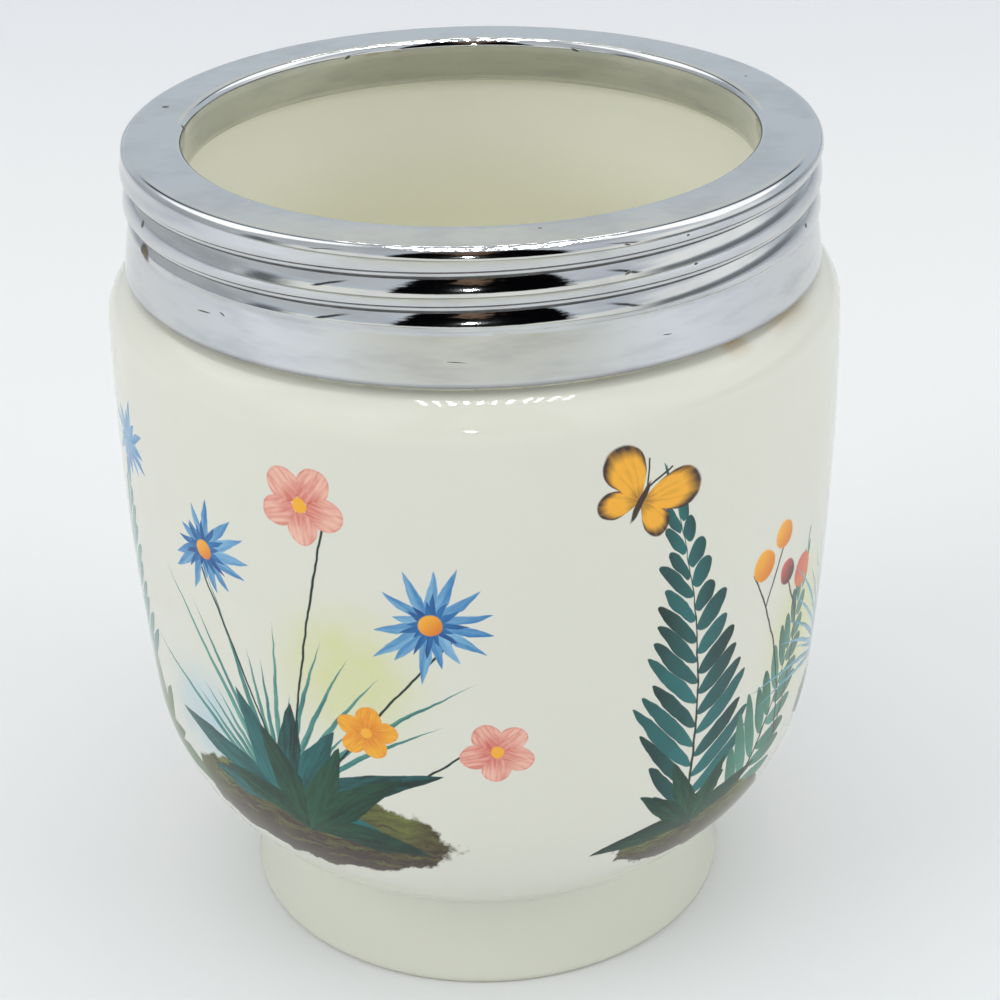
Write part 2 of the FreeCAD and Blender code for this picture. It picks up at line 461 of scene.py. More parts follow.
def coat(surface, colour, roughness, relief, strength, distance=0.1 * MM):
    """Gives a surface shader its colour, roughness and relief."""
    bump = add_node(relief.tree, "ShaderNodeBump", Height=relief, Strength=strength, Distance=distance)
    fill(surface, Base_Color=colour, Roughness=roughness, Normal=out(bump, "Normal"))


# Printed decoration -------------------------------------------------------------------

# Width in mm over which the edge of a blade or stem turns from bare to inked
SOFT_EDGE = 0.07
# Keeps the random numbers of one seed clear of the next
SEED_STEP = 17.31


def inked(inside):
    """1 inside a shape and 0 outside, from the distance in mm inside its edge."""
    return (inside / SOFT_EDGE).clamped()


def streaks(x, y, z, detail=2.0, roughness=0.5):
    """Strokes of a brush, about 0."""
    return noise_at(vector(x, y, z), 1.0, detail, roughness) - 0.5


class Motif:
    """A node group that draws one printed motif about its own root, in millimetres.

    Its items are its inputs where they are read, and its outputs where they are set.
    """

    def __init__(self, name, outputs, **sizes):
        self.tree = bpy.data.node_groups.new(name, "ShaderNodeTree")
        face = self.tree.interface
        face.new_socket("Place", in_out="INPUT", socket_type="NodeSocketVector")
        for label, value in sizes.items():
            socket = face.new_socket(label, in_out="INPUT", socket_type="NodeSocketFloat")
            socket.default_value = value
        for label in outputs:
            face.new_socket(label, in_out="OUTPUT", socket_type="NodeSocketFloat")
        self.entry = self.tree.nodes.new("NodeGroupInput")
        self.exit = self.tree.nodes.new("NodeGroupOutput")
        self.across, self.along, _ = split(self["Place"])

    def __getitem__(self, label):
        return out(self.entry, label)

    def __setitem__(self, label, flow):
        plug(flow, self.exit.inputs[label])

    def chance(self, cell):
        """Three random shares for one cell number."""
        number = cell + self["Seed"] * SEED_STEP
        node = add_node(self.tree, "ShaderNodeTexWhiteNoise", {"noise_dimensions": "1D"}, W=number)
        parts = add_node(self.tree, "ShaderNodeSeparateColor", Color=out(node, "Color"))
        return [Flow(socket) for socket in parts.outputs]


def blade_fan():
    """Pointed blades or broad leaves that spring from one root and bow outwards."""
    sizes = dict(Length=20, Spread=1, Gap=0.12, Width=0.5, Droop=0.5, Belly=0.35, Seed=1)
    fan = Motif("blade_fan", ("Mask", "Shade"), **sizes)
    reach = hypotenuse(fan.across, fan.along)
    bow = reach / fan["Length"] * fan["Droop"] + 1.0
    angle = fan.across.calc("ARCTAN2", fan.along) / bow
    gap = fan["Gap"]
    cell = (angle / gap).calc("ROUND")
    first, second, third = fan.chance(cell)
    middle = (cell + (first - 0.5) * 0.6) * gap
    aside = (angle - middle) * reach * bow
    share = reach / (fan["Length"] * (second * 0.5 + 0.5))
    belly = (share * (fan["Belly"].flipped() * 2.0 + 1.2) + fan["Belly"]).least(1.0)
    half = fan["Width"] * share.flipped().most(0.0) ** 0.75 * belly
    mask = inked(half - aside.size()) * share.below(1.0)
    fan["Mask"] = mask * (cell * gap).size().below(fan["Spread"])
    streak = streaks(aside * 2.6, reach * 0.35, cell)
    lit_half = aside.ramp(-0.12, 0.12) * 0.22
    fan["Shade"] = third * 0.45 + share * 0.25 + streak * 1.3 + lit_half + 0.05
    return fan.tree


def mound():
    """A low bank of painted ground with a ragged upper edge."""
    bank = Motif("mound", ("Mask", "Shade"), Width=16, Height=5, Seed=1)
    right = bank.across / bank["Width"]
    up = bank.along / bank["Height"]
    rough = streaks(right * 5.0, up * 1.6, bank["Seed"], 4.0, 0.6)
    bank["Mask"] = (hypotenuse(right, up + 0.1) + rough * 0.55).ramp(1.0, 0.93)
    grain = streaks(right * 4.0, up * 9.0 + rough * 5.0, 2.0, 3.0)
    bank["Shade"] = grain * 1.8 + 0.75 - up * 0.35
    return bank.tree


def leaf_frond():
    """A bowed stem with pairs of pointed leaflets."""
    sizes = dict(Length=30, Leaflet=6, Gap=1.8, Width=0.6, Bow=0.2, Lean=0.9, Seed=1)
    frond = Motif("leaf_frond", ("Mask", "Shade", "Stem"), **sizes)
    full = frond["Length"]
    gap = frond["Gap"]
    aside = frond.across - frond.along * frond.along * frond["Bow"] / full
    side = aside.calc("SIGN")
    reach = aside.size()
    root = frond.along - reach * frond["Lean"] - reach * reach * 0.03
    cell = (root / gap + side * 0.25).calc("ROUND")
    first, second, third = frond.chance(cell + side * 0.5)
    middle = (cell - side * 0.25 + (first - 0.5) * 0.25) * gap
    height = middle / full
    taper = (height.flipped() * 1.25).least(1.0) * (height * 4.0 + 0.3).least(1.0)
    share = reach / (frond["Leaflet"] * taper.most(0.01) * (second * 0.3 + 0.75))
    belly = (share * share.flipped()).most(0.0) ** 0.6 * 2.2
    mask = inked(frond["Width"] * belly - (root - middle).size() * 0.74)
    frond["Mask"] = mask * ((height - 0.5).size().below(0.5) * share.below(1.0))
    frond["Shade"] = third * 0.5 + share * 0.5
    along = frond.along / full
    thick = along.flipped() * 0.16 + 0.05
    frond["Stem"] = inked(thick - reach) * (along - 0.5).size().below(0.5)
    return frond.tree


def flower_head():
    """Five round petals about a small core."""
    flower = Motif("flower_head", ("Mask", "Shade", "Core"), Radius=3, Seed=1)
    reach = hypotenuse(flower.across, flower.along) / flower["Radius"]
    turn = flower.across.calc("ARCTAN2", flower.along)
    petal_turn = FULL_TURN / 5.0
    cell = (turn / petal_turn).calc("ROUND").calc("WRAP", 4.5, -0.5)
    first, second, _ = flower.chance(cell)
    fold = turn.calc("WRAP", petal_turn / 2.0, -petal_turn / 2.0)
    forward = reach * fold.calc("COSINE") - (first * 0.06 + 0.52)
    aside = reach * fold.calc("SINE")
    inside = second * 0.07 + 0.41 - hypotenuse(forward, aside * 1.12)
    flower["Mask"] = inside.ramp(0.0, 0.04)
    streak = streaks(aside * 14.0, reach * 2.0, cell)
    heart = reach.ramp(0.75, 0.2) * 0.5
    rim = inside.ramp(0.09, 0.0) * 0.35
    flower["Shade"] = streak * 1.5 + heart + rim + second * 0.25 + 0.1
    flower["Core"] = reach.ramp(0.2, 0.15)
    return flower.tree


def flower_stem():
    """One thin bowed line that starts at its root."""
    stem = Motif("flower_stem", ("Mask",), Length=20, Bow=0.2, Width=0.14)
    share = stem.along / stem["Length"]
    aside = (stem.across - stem.along * share * stem["Bow"]).size()
    stem["Mask"] = inked(stem["Width"] - aside) * (share - 0.5).size().below(0.5)
    return stem.tree


def berry():
    """A round berry, lighter towards its upper left."""
    fruit = Motif("berry", ("Mask", "Shade"), Radius=1)
    radius = fruit["Radius"]
    fruit["Mask"] = (hypotenuse(fruit.across, fruit.along) / radius).ramp(1.0, 0.86)
    fruit["Shade"] = ((fruit.across - fruit.along) / radius * 0.4 + 0.5).least(1.0).most(0.0)
    return fruit.tree


def soft_spot():
    """A soft round wash of colour."""
    spot = Motif("soft_spot", ("Mask",), Radius=6)
    spot["Mask"] = (hypotenuse(spot.across, spot.along) / spot["Radius"]).ramp(1.0, 0.15)
    return spot.tree


# Turn from the top and half width, in radians, and size of the upper and the lower wing
WINGS = ((0.95, 0.62, 1.0), (2.05, 0.6, 0.68))


def butterfly():
    """Two pairs of lobed wings about a slim body."""
    insect = Motif("butterfly", ("Mask", "Shade", "Body"), Span=4)
    right = insect.across.size() / insect["Span"]
    up = insect.along / insect["Span"]
    reach = hypotenuse(right, up)
    turn = right.calc("ARCTAN2", up)
    lobes = []
    for middle, spread, size in WINGS:
        open_share = ((turn - middle) * (QUARTER_TURN / spread)).calc("COSINE").most(0.001)
        near = (turn - middle).size().below(spread)
        lobes.append(reach / (open_share ** 0.32 * size) * near + near.flipped() * 9.0)
    wings = reduce(Flow.least, lobes)
    insect["Mask"] = wings.ramp(1.0, 0.95)
    streak = streaks(turn * 7.0, reach * 1.5, 0.0)
    insect["Shade"] = wings.ramp(0.68, 0.95) + streak * 1.1 + reach.ramp(0.3, 0.05) * 0.5
    body = hypotenuse(right / 0.055, (up + 0.02) / 0.36)
    feeler = (right - up * 0.5 + 0.1).size().ramp(0.022, 0.01) * (up - 0.42).size().below(0.2)
    insect["Body"] = body.ramp(1.0, 0.75).most(feeler)
    return insect.tree


MOTIFS = (blade_fan, mound, leaf_frond, flower_head, flower_stem, berry, soft_spot, butterfly)
MAKERS = {maker.__name__: maker for maker in MOTIFS}

INKS = {
    "leaf_deep": paint(16, 44, 36),
    "leaf_green": paint(36, 88, 62),
    "leaf_teal": paint(36, 112, 112),
    "leaf_light": paint(104, 164, 146),
    "leaf_olive": paint(122, 134, 62),
    "sky": paint(38, 118, 178),
    "sky_light": paint(140, 190, 218),
    "sky_deep": paint(22, 62, 122),
    "brown": paint(62, 44, 36),
    "peach": paint(240, 190, 170),
    "peach_deep": paint(206, 96, 84),
    "orange": paint(246, 178, 52),
    "orange_deep": paint(222, 122, 34),
    "glow": paint(208, 214, 96),
    "mist": paint(150, 196, 220),
}
# Ink of each further output that a motif may have
CORE_INKS = {"Core": "orange", "Stem": "leaf_deep", "Body": "brown"}

# The left and the right print stand clear of each other on either side of this turn
PRINT_SEAM = math.radians(12.0)
BROAD = dict(Length=17, Spread=1.35, Gap=0.42, Width=2.6, Droop=0.35, Belly=0.1)
NARROW = dict(Length=25, Spread=0.75, Gap=0.085, Width=0.5, Droop=0.5, Belly=0.5)
FROND = dict(Length=37, Leaflet=7.4, Gap=2.1, Width=0.85, Bow=-0.3, Lean=0.75)
DAISY = dict(Spread=3.3, Gap=FULL_TURN / 15.0, Width=0.95, Droop=0, Belly=0.2)
DAISY_HEART = dict(DAISY, Width=0.6)

# Each printed motif: kind, root across and up the wall in mm, turn in degrees, its sizes, and
# its one ink or the light and dark ink of its blades, petals or wings. Later ones lie on top.
LEFT_PRINT = (
    ("soft_spot", -11, 38, 0, dict(Radius=9), "glow"),
    ("soft_spot", -27, 28, 0, dict(Radius=8), "mist"),
    ("blade_fan", -18, 22, 4, dict(NARROW, Seed=1), "leaf_light", "leaf_teal"),
    ("flower_stem", -17, 23, 16, dict(Length=24, Bow=-0.1), "leaf_deep"),
    ("flower_stem", -17, 23, -5, dict(Length=30, Bow=0.08), "leaf_deep"),
    ("flower_stem", -16, 23, -30, dict(Length=24, Bow=0.1), "leaf_deep"),
    ("flower_stem", -16, 22, -64, dict(Length=18, Bow=-0.12), "leaf_deep"),
    ("mound", -16, 21.5, 0, dict(Width=14, Height=5, Seed=2), "leaf_olive", "brown"),
    ("blade_fan", -17.5, 22, 0, dict(BROAD, Seed=5), "leaf_teal", "leaf_deep"),
    ("blade_fan", -15.5, 20.5, -12, dict(BROAD, Length=12.5, Gap=0.5, Seed=8), "leaf_green", "leaf_deep"),
    ("blade_fan", -24.8, 46, 10, dict(DAISY, Length=5.4, Seed=6), "sky_light", "sky"),
    ("blade_fan", -24.8, 46, 20, dict(DAISY_HEART, Length=3.3, Seed=16), "sky", "sky_deep"),
    ("flower_head", -14.2, 53, 40, dict(Radius=3.7, Seed=7), "peach", "peach_deep"),
    ("blade_fan", -3.9, 43.6, 0, dict(DAISY, Length=6, Seed=8), "sky_light", "sky"),
    ("blade_fan", -3.9, 43.6, 12, dict(DAISY_HEART, Length=3.7, Seed=18), "sky", "sky_deep"),
    ("flower_head", 1.2, 31.4, 30, dict(Radius=3.1, Seed=9), "peach", "peach_deep"),
    ("flower_head", -9.6, 32.6, 64, dict(Radius=2.8, Seed=13), "orange", "orange_deep"),
    ("berry", -24.8, 46, 0, dict(Radius=0.95), "orange", "orange_deep"),
    ("berry", -3.9, 43.6, 0, dict(Radius=1.05), "orange", "orange_deep"),
    (
        "leaf_frond", -39, 21, 14, dict(FROND, Length=29, Leaflet=5.4, Bow=0.3, Seed=11),
        "leaf_light", "leaf_teal",
    ),
    ("blade_fan", -37, 20.5, 0, dict(BROAD, Length=11, Seed=14), "leaf_olive", "leaf_green"),
    ("blade_fan", -37.5, 51, 0, dict(DAISY, Length=4.6, Seed=12), "sky_light", "sky"),
)
RIGHT_PRINT = (
    ("soft_spot", 34, 33, 0, dict(Radius=9), "glow"),
    ("leaf_frond", 17, 17, -14, dict(FROND, Seed=4), "leaf_teal", "leaf_deep"),
    ("leaf_frond", 22, 17.5, -44, dict(FROND, Length=27, Leaflet=5.6, Seed=5), "leaf_light", "leaf_green"),
    ("mound", 20, 18, 0, dict(Width=9, Height=3.4, Seed=7), "leaf_olive", "brown"),
    (
        "blade_fan", 19, 18.5, 10, dict(BROAD, Length=11, Gap=0.5, Width=2, Seed=11),
        "leaf_green", "leaf_deep",
    ),
    ("butterfly", 13, 53, -30, dict(Span=5.6), "orange", "brown"),
    ("flower_stem", 30, 23, -2, dict(Length=19, Bow=-0.3), "brown"),
    ("flower_stem", 30, 23, -24, dict(Length=16, Bow=-0.3), "brown"),
    ("flower_stem", 26.9, 38.3, -25, dict(Length=5.6, Bow=0), "brown"),
    ("flower_stem", 32.4, 35.1, 25, dict(Length=4.7, Bow=0), "brown"),
    ("berry", 26.4, 42.6, 0, dict(Radius=1.6), "orange", "orange_deep"),
    ("berry", 29.3, 44.4, 0, dict(Radius=1.4), "orange", "orange_deep"),
    ("berry", 33.2, 39, 0, dict(Radius=1.7), "peach_deep", "orange_deep"),
    ("berry", 30.2, 40.3, 0, dict(Radius=1.3), "peach_deep", "brown"),
    ("blade_fan", 43, 24, 0, dict(NARROW, Length=21, Spread=1, Seed=10), "sky_light", "leaf_teal"),
    ("mound", 43, 23, 0, dict(Width=8, Height=3, Seed=5), "leaf_olive", "leaf_deep"),
)


def wall_place(place):
    """Millimetres round and up the wall from the front, with the back print mirrored."""
    x, y, z = split(place)
    radius = (x * x + y * y) ** 0.5 * 1000.0
    angle = right_turn(x, y)
    mirror = angle.size().below(QUARTER_TURN) * 2.0 - 1.0
    folded = angle.calc("WRAP", QUARTER_TURN, -QUARTER_TURN) * mirror
    return vector(folded * radius, z * 1000.0)


def printed_colour(place, colour, motifs):
    """Lays printed motifs over a colour."""
    shift = add_node(place.tree, "ShaderNodeVectorMath", {"operation": "MULTIPLY_ADD"})
    wobble = noise_at(place, 420.0, result="Color")
    for slot, value in zip(shift.inputs, (wobble, (0.45, 0.45, 0.0), wall_place(place))):
        plug(value, slot)
    flat = out(shift, "Vector")
    wash = noise_at(place, 320.0, 3.0, 0.6) - 0.5
    for kind, across, up, turn, sizes, *inks in motifs:
        about_root = mapped(
            flat, "TEXTURE", Location=(across, up, 0.0), Rotation=(0.0, 0.0, math.radians(turn))
        )
        drawn = bpy.data.node_groups.get(kind) or MAKERS[kind]()
        group = add_node(place.tree, "ShaderNodeGroup", {"node_tree": drawn}, Place=about_root, **sizes)
        mask = out(group, "Mask")
        ink = INKS[inks[-1]]
        if "Shade" in group.outputs:
            ink = blend((out(group, "Shade") + wash * 0.5).clamped(), INKS[inks[0]], ink)
        if kind == "soft_spot":
            mask = mask * (wash + 0.75) * 0.6
        colour = blend(mask, colour, ink)
        for name, core_ink in CORE_INKS.items():
            if name in group.outputs:
                colour = blend(out(group, name), colour, INKS[core_ink])
    return colour


# Materials ----------------------------------------------------------------------------

# Turn from the front and half width, in radians, of each yellow stain under the collar
STAINS = ((0.76, 0.07), (1.03, 0.16))


def beside_stains(x, y):
    """1 at the middle of each stain round the cup and 0 away from them."""
    angle = right_turn(x, y)
    return reduce(Flow.most, [(angle - turn).size().ramp(half, half * 0.2) for turn, half in STAINS])


def glaze_surface(name, colours, motifs=()):
    """Clear-glazed porcelain, with its printed motifs if it has any."""
    material, surface, place = new_material(name)
    x, y, z = split(place)
    cloud = noise_at(place, 70.0, 3.0)
    pool = z.ramp(0.013, 0.0065) * 0.8 + cloud * 0.25
    colour = blend(pool.clamped(), colours.glaze, colours.glaze_pool)
    if motifs:
        colour = printed_colour(place, colour, motifs)
    stain = z.ramp(0.0612, 0.0625) * cloud.ramp(0.2, 0.5)
    colour = blend(beside_stains(x, y) * stain * 0.45, colour, colours.cement_stain)
    specks = scattered_dots(place, 210.0, (0.07, 0.03), 95.0, (0.66, 0.7))
    colour = blend(specks * 0.35, colour, colours.speck)
    coat(surface, colour, noise_at(place, 160.0) * 0.03 + 0.03, noise_at(place, 240.0), 0.2)
    fill(surface, IOR=1.5)
    return material


def bisque_surface(colours):
    """The unglazed ring that the cup stands on."""
    material, surface, place = new_material("bisque")
    grain = noise_at(place, 900.0, 4.0, 0.7)
    coat(surface, blend(grain, colours.bisque, colours.bisque_dark), grain * 0.2 + 0.7, grain, 0.5)
    return material


def mark(place, spot, sizes, turn):
    """1 inside a small soft oval about one point of the collar, in mm, and 0 outside."""
    outwards = math.atan2(spot[0], -spot[1])
    oval = mapped(
        place, "TEXTURE",
        Location=Vector(spot) * MM, Rotation=(0.0, turn, outwards), Scale=Vector(sizes) * MM,
    )
    node = add_node(place.tree, "ShaderNodeVectorMath", {"operation": "LENGTH"}, Vector=oval)
    return out(node, "Value").ramp(1.0, 0.6)


# Pits and scratches of the collar, in mm: place, half size round, out from and up the cup,
# and turn in radians
MARKS = (
    ((-26.7, -12.5, 67.65), (1.5, 1.0, 0.72), 0.3),
    ((-26.49, -12.98, 70.2), (0.34, 1.0, 0.4), 0.2),
    ((-21.12, -20.68, 65.8), (1.0, 1.0, 0.07), -0.09),
    ((-19.55, -22.15, 66.15), (0.36, 1.0, 0.08), 0.3),
    ((-26.3, 5.7, 73.85), (0.36, 0.4, 0.4), 0.0),
    ((-24.3, 1.0, 73.5), (0.34, 0.3, 0.35), 0.0),
    ((-11.3, 21.5, 73.2), (0.42, 0.5, 0.16), 0.3),
    ((9.9, 22.2, 73.2), (0.5, 0.5, 0.14), -0.2),
    ((24.46, 10.81, 73.85), (0.2, 0.18, 0.4), 0.0),
    ((4.93, -25.37, 73.85), (0.18, 0.18, 0.4), 0.0),
    ((11.3, -27.2, 73.1), (0.3, 0.8, 0.08), 0.2),
    ((11.5, -27.2, 70.8), (0.4, 0.8, 0.1), -0.3),
    ((16.0, -24.8, 72.8), (0.16, 0.8, 0.1), 0.0),
    ((16.7, -24.3, 70.3), (0.2, 0.8, 0.11), 0.0),
    ((26.96, -11.97, 68.4), (0.3, 0.8, 0.25), 0.3),
    ((14.6, -25.9, 65.2), (0.5, 0.8, 0.05), 0.1),
    ((-1.5, -29.6, 65.0), (0.9, 0.8, 0.04), 0.06),
)
# The pale heart of the largest pit
PIT_HEART = ((-26.7, -12.5, 67.65), (0.9, 1.0, 0.42), 0.3)


def chrome_surface(colours):
    """Bright plating with smudges, scratches and pits, and painted shade darkening the thread's creases and
    some corners.
    """
    material, surface, place = new_material("chromed_brass")
    cloud = noise_at(place, 110.0, 4.0, 0.6)
    fine = noise_at(place, 900.0, 3.0, 0.6)
    smear = noise_at(mapped(place, "POINT", Scale=(1.0, 1.0, 5.0)), 140.0, 3.0, 0.6)
    groove = out(add_node(place.tree, "ShaderNodeAttribute", {"attribute_name": "groove"}), "Fac")
    # Painted shade: the groove layer darkens the thread's creases, the band's lower edge and the inner lip,
    # mottled a little
    shade_and_dirt = groove.ramp(0.05, 0.5) * (fine * 0.3 + 0.7)
    dull = blend(smear.ramp(0.42, 0.72), colours.chrome, colours.chrome_dull)
    colour = blend(shade_and_dirt, dull, colours.grime_and_shade)
    pit = scattered_dots(place, 330.0, (0.12, 0.05), 140.0, (0.64, 0.68))
    for spot in MARKS:
        pit = pit.most(mark(place, *spot))
    worn = blend(fine.ramp(0.5, 0.75), colours.grime_and_shade, colours.worn)
    colour = blend(pit * 0.85, colour, worn)
    colour = blend(mark(place, *PIT_HEART) * 0.8, colour, colours.worn)
    rough = smear.ramp(0.35, 0.8) * 0.05 + fine * 0.02 + pit * 0.4 + shade_and_dirt * 0.3 + 0.02
    coat(surface, colour, rough, cloud * 1.5 + fine * 0.1 - pit * 0.8, 0.25, 0.06 * MM)
    fill(surface, Metallic=1.0)
    return material


def cement_surface(colours):
    """Chalky cement, yellowed in patches and most on the right."""
    material, surface, place = new_material("cement")
    x, y, _ = split(place)
    patch = noise_at(place, 150.0, 3.0).ramp(0.5, 0.7)
    grain = noise_at(place, 1400.0, 3.0)
    stain = (patch * 0.3 + beside_stains(x, y)).clamped()
    colour = blend(stain, colours.cement, colours.cement_stain)
    colour = blend(grain.ramp(0.55, 0.8) * 0.5, colour, colours.cement_dark)
    coat(surface, colour, grain * 0.2 + 0.65, grain, 0.6)
    return material


# Collar -------------------------------------------------------------------------------

# One pitch of the thread, in mm: a narrow land between two creases, then a crowned rib
LAND_HALF = 0.22
WALL_WIDTH = 0.08
# Height of each crease above a land's middle, and the half width of its line of painted shade, in mm
CREASES = (0.15, -0.23)
CREASE_HALF = 0.105
CROWN_TOP_TILT = 38.0
CROWN_ZERO = 2.08


def thread_depth(drop, pitch, groove_depth):
    """Depth under the crest at a distance in mm below the middle of a land."""
    edge = LAND_HALF + WALL_WIDTH
    radius = CROWN_ZERO / math.sin(math.radians(CROWN_TOP_TILT))

    def crown(down):
        off = CROWN_ZERO - down
        return radius - math.sqrt(radius ** 2 - off ** 2)

    around = min(drop, pitch - drop)
    if around <= LAND_HALF:
        return groove_depth
    if around < edge:
        start = crown(0.0) if drop < pitch / 2.0 else crown(pitch - 2.0 * edge)
        share = (around - LAND_HALF) / WALL_WIDTH
        return groove_depth + (start - groove_depth) * share
    return crown(drop - edge)


def crease_share(rise, pitch):
    """How much painted shade a crease gets: 1 at its middle and 0 beside it, at a height in mm above a
    land's middle.
    """
    share = 0.0
    for crease in CREASES:
        off = abs((rise - crease + pitch / 2.0) % pitch - pitch / 2.0)
        share = max(share, 1.0 - off / CREASE_HALF)
    return share


# Turns of the thread's sheet below and above the groove's start, and where each has lines, in mm
TURNS_BELOW = 2
TURNS_ABOVE = 4
THREAD_STOPS = (
    0.0, 0.1, 0.16, 0.2, 0.22, 0.24, 0.27, 0.3, 0.33, 0.36, 0.42, 0.52, 0.66, 0.82, 1.0, 1.2,
    1.4, 1.6, 1.8, 2.0, 2.15, 2.26, 2.34, 2.38, 2.4, 2.42, 2.44, 2.46, 2.48, 2.5, 2.53, 2.6,
)


def thread_sheet(collar):
    """A flat sheet, sloped like the thread, whose depth is its third coordinate.

    X is the angle round the collar and Y the way up its side, then over its top edge.
    """
    mesh = bmesh.new()
    pitch = collar.pitch
    tip = None
    edges = []
    verts = []
    for turn in range(-TURNS_BELOW, TURNS_ABOVE):
        for stop in THREAD_STOPS:
            rise = turn * pitch + stop * MM - collar.start_drop
            drop = (pitch - stop * MM) / MM if stop else 0.0
            depth = thread_depth(drop, pitch / MM, collar.groove_depth / MM) * MM
            made = mesh.verts.new((0.0, rise, depth))
            verts.append(made)
            if tip is not None:
                edges.append(mesh.edges.new((tip, made)))
            tip = made
    stride = (FULL_TURN / collar.segments, pitch / collar.segments, 0.0)
    bmesh.ops.spin(
        mesh, geom=verts + edges, cent=ORIGIN, axis=UP, dvec=stride, angle=0.0,
        steps=collar.segments, use_duplicate=False,
    )
    return mesh


# How far above and below the band's top the thread fades into the band
EASE_ABOVE = 0.05 * MM
EASE_BELOW = 0.3 * MM
# How far inside the top's rounded edge the sheet ends, how far under that edge the groove
# begins to fade out, and the share of the edge at which it is gone
SHEET_END = 0.25 * MM
FADE_BELOW = 0.45 * MM
FADE_OVER = 0.55
# Distance under which the two sides of the sheet's seam are one
SEAM_WELD = 1e-6


def cut_sheet(mesh, height, keep_above):
    """Cuts the sheet straight across at one height and clears one side."""
    bmesh.ops.bisect_plane(
        mesh, geom=mesh.verts[:] + mesh.edges[:] + mesh.faces[:], plane_co=(0.0, height, 0.0),
        plane_no=(0.0, 1.0, 0.0), clear_inner=keep_above, clear_outer=not keep_above,
    )


def smooth_share(value, low, high):
    share = min(1.0, max(0.0, (value - low) / (high - low)))
    return share * share * (3.0 - 2.0 * share)


def collar_skin(collar):
    """The collar's closed skin: the thread sheet wound round, then rings for the rest."""
    band_top = collar.foot_height + collar.band_height
    straight = collar.top_height - collar.outer_edge - band_top
    arc_length = collar.outer_edge * QUARTER_TURN
    mesh = thread_sheet(collar)
    cut_sheet(mesh, -EASE_BELOW, True)
    cut_sheet(mesh, straight + arc_length + SHEET_END, False)
    # The groove layer holds painted shade: how far the chrome is darkened along the creases and on the
    # rings added below
    groove = mesh.verts.layers.float.new("groove")
    slope = (collar.band_foot_radius - collar.band_top_radius) / collar.band_height
    for vert in mesh.verts:
        angle, along, depth = vert.co
        rise = along + collar.start_drop - collar.pitch * angle / FULL_TURN
        shallow = 1.0 - smooth_share(along, straight - FADE_BELOW, straight + FADE_OVER * arc_length)
        above_band = smooth_share(along, -EASE_BELOW, EASE_ABOVE)
        ledge = collar.rib_radius - collar.band_top_radius + slope * min(along, 0.0)
        depth *= shallow
        depth += (ledge - depth) * (1.0 - above_band)
        vert[groove] = crease_share(rise / MM, collar.pitch / MM) * shallow * above_band
        over = min(max(along - straight, 0.0), arc_length) / collar.outer_edge
        past = max(along - straight - arc_length, 0.0)
        radius = collar.rib_radius - collar.outer_edge + collar.outer_edge * math.cos(over) - past
        height = band_top + min(along, straight) + collar.outer_edge * math.sin(over)
        radius -= depth * math.cos(over)
        height -= depth * math.sin(over)
        vert.co = (radius * math.cos(angle), radius * math.sin(angle), height)
    seam = bmesh.ops.find_doubles(mesh, verts=mesh.verts[:], dist=SEAM_WELD)["targetmap"]
    bmesh.ops.weld_verts(mesh, targetmap=seam)
    open_edges = [e for e in mesh.edges if e.is_boundary]
    middle = (band_top + collar.top_height) / 2.0
    top_edges = [e for e in open_edges if e.verts[0].co.z > middle]
    last = [e for e in open_edges if e.verts[0].co.z < middle]
    for radius, height, shade_and_dirt in collar_rings(collar):
        made = bmesh.ops.extrude_edge_only(mesh, edges=last)
        ring = [v for v in made["geom"] if isinstance(v, bmesh.types.BMVert)]
        last = [e for e in made["geom"] if isinstance(e, bmesh.types.BMEdge)]
        grow = radius / ring[0].co.xy.length
        bmesh.ops.scale(mesh, vec=(grow, grow, 1.0), verts=ring)
        bmesh.ops.translate(mesh, vec=(0.0, 0.0, height - ring[0].co.z), verts=ring)
        for vert in ring:
            vert[groove] = shade_and_dirt
    bmesh.ops.bridge_loops(mesh, edges=last + top_edges)
    return mesh


def corner_points(centre, radius, start, end, steps, shade_and_dirt):
    """Points of a small rounding, with their painted shade."""
    points = []
    for step in range(steps + 1):
        place = centre + polar(radius, start + (end - start) * step / steps)
        points.append((place.x, place.z, shade_and_dirt))
    return points


# Rounding of the band's lower edge, and the distance of a ring that keeps a corner sharp
BAND_ROUND = 0.15 * MM
CORNER = 0.05 * MM


def collar_rings(collar):
    """Radius, height and painted shade of each ring from the band, round the inside, to the top."""
    foot = collar.foot_height
    top = collar.top_height
    skirt, outer, lip = collar.skirt_radius, collar.lip_outer, collar.lip_inner
    under = top - collar.plate
    bead = (outer - lip) / 2.0
    bead_height = top - collar.lip_length + bead
    inner = collar.inner_edge
    rings = []
    for share in (0.12, 0.3, 0.5, 0.7, 0.9):
        radius = collar.band_top_radius + (collar.band_foot_radius - collar.band_top_radius) * share
        rings.append((radius, foot + collar.band_height - (collar.band_height - BAND_ROUND) * share, 0.0))
    band_corner = point(collar.band_foot_radius - BAND_ROUND, foot + BAND_ROUND)
    # Painted shade darkens the band's lower edge, the skirt's foot and the inner lip's wall
    return [
        *rings,
        *corner_points(band_corner, BAND_ROUND, 8.0, -90.0, 6, 0.3),
        (skirt, foot, 0.6),
        (skirt, foot + CORNER, 0.6),
        (skirt, under - CORNER, 0.0),
        (skirt, under, 0.0),
        (skirt - CORNER, under, 0.0),
        (outer + CORNER, under, 0.0),
        (outer, under, 0.0),
        (outer, under - CORNER, 0.0),
        *corner_points(point(lip + bead, bead_height), bead, 0.0, -180.0, 10, 0.0),
        (lip, bead_height + 0.3 * MM, 0.17),
        (lip, top - inner - 0.6 * MM, 0.15),
        *corner_points(point(lip + inner, top - inner), inner, 180.0, 90.0, 10, 0.0),
        (lip + inner + 0.4 * MM, top, 0.0),
        (collar.rib_radius - collar.outer_edge - 0.8 * MM, top, 0.0),
    ]


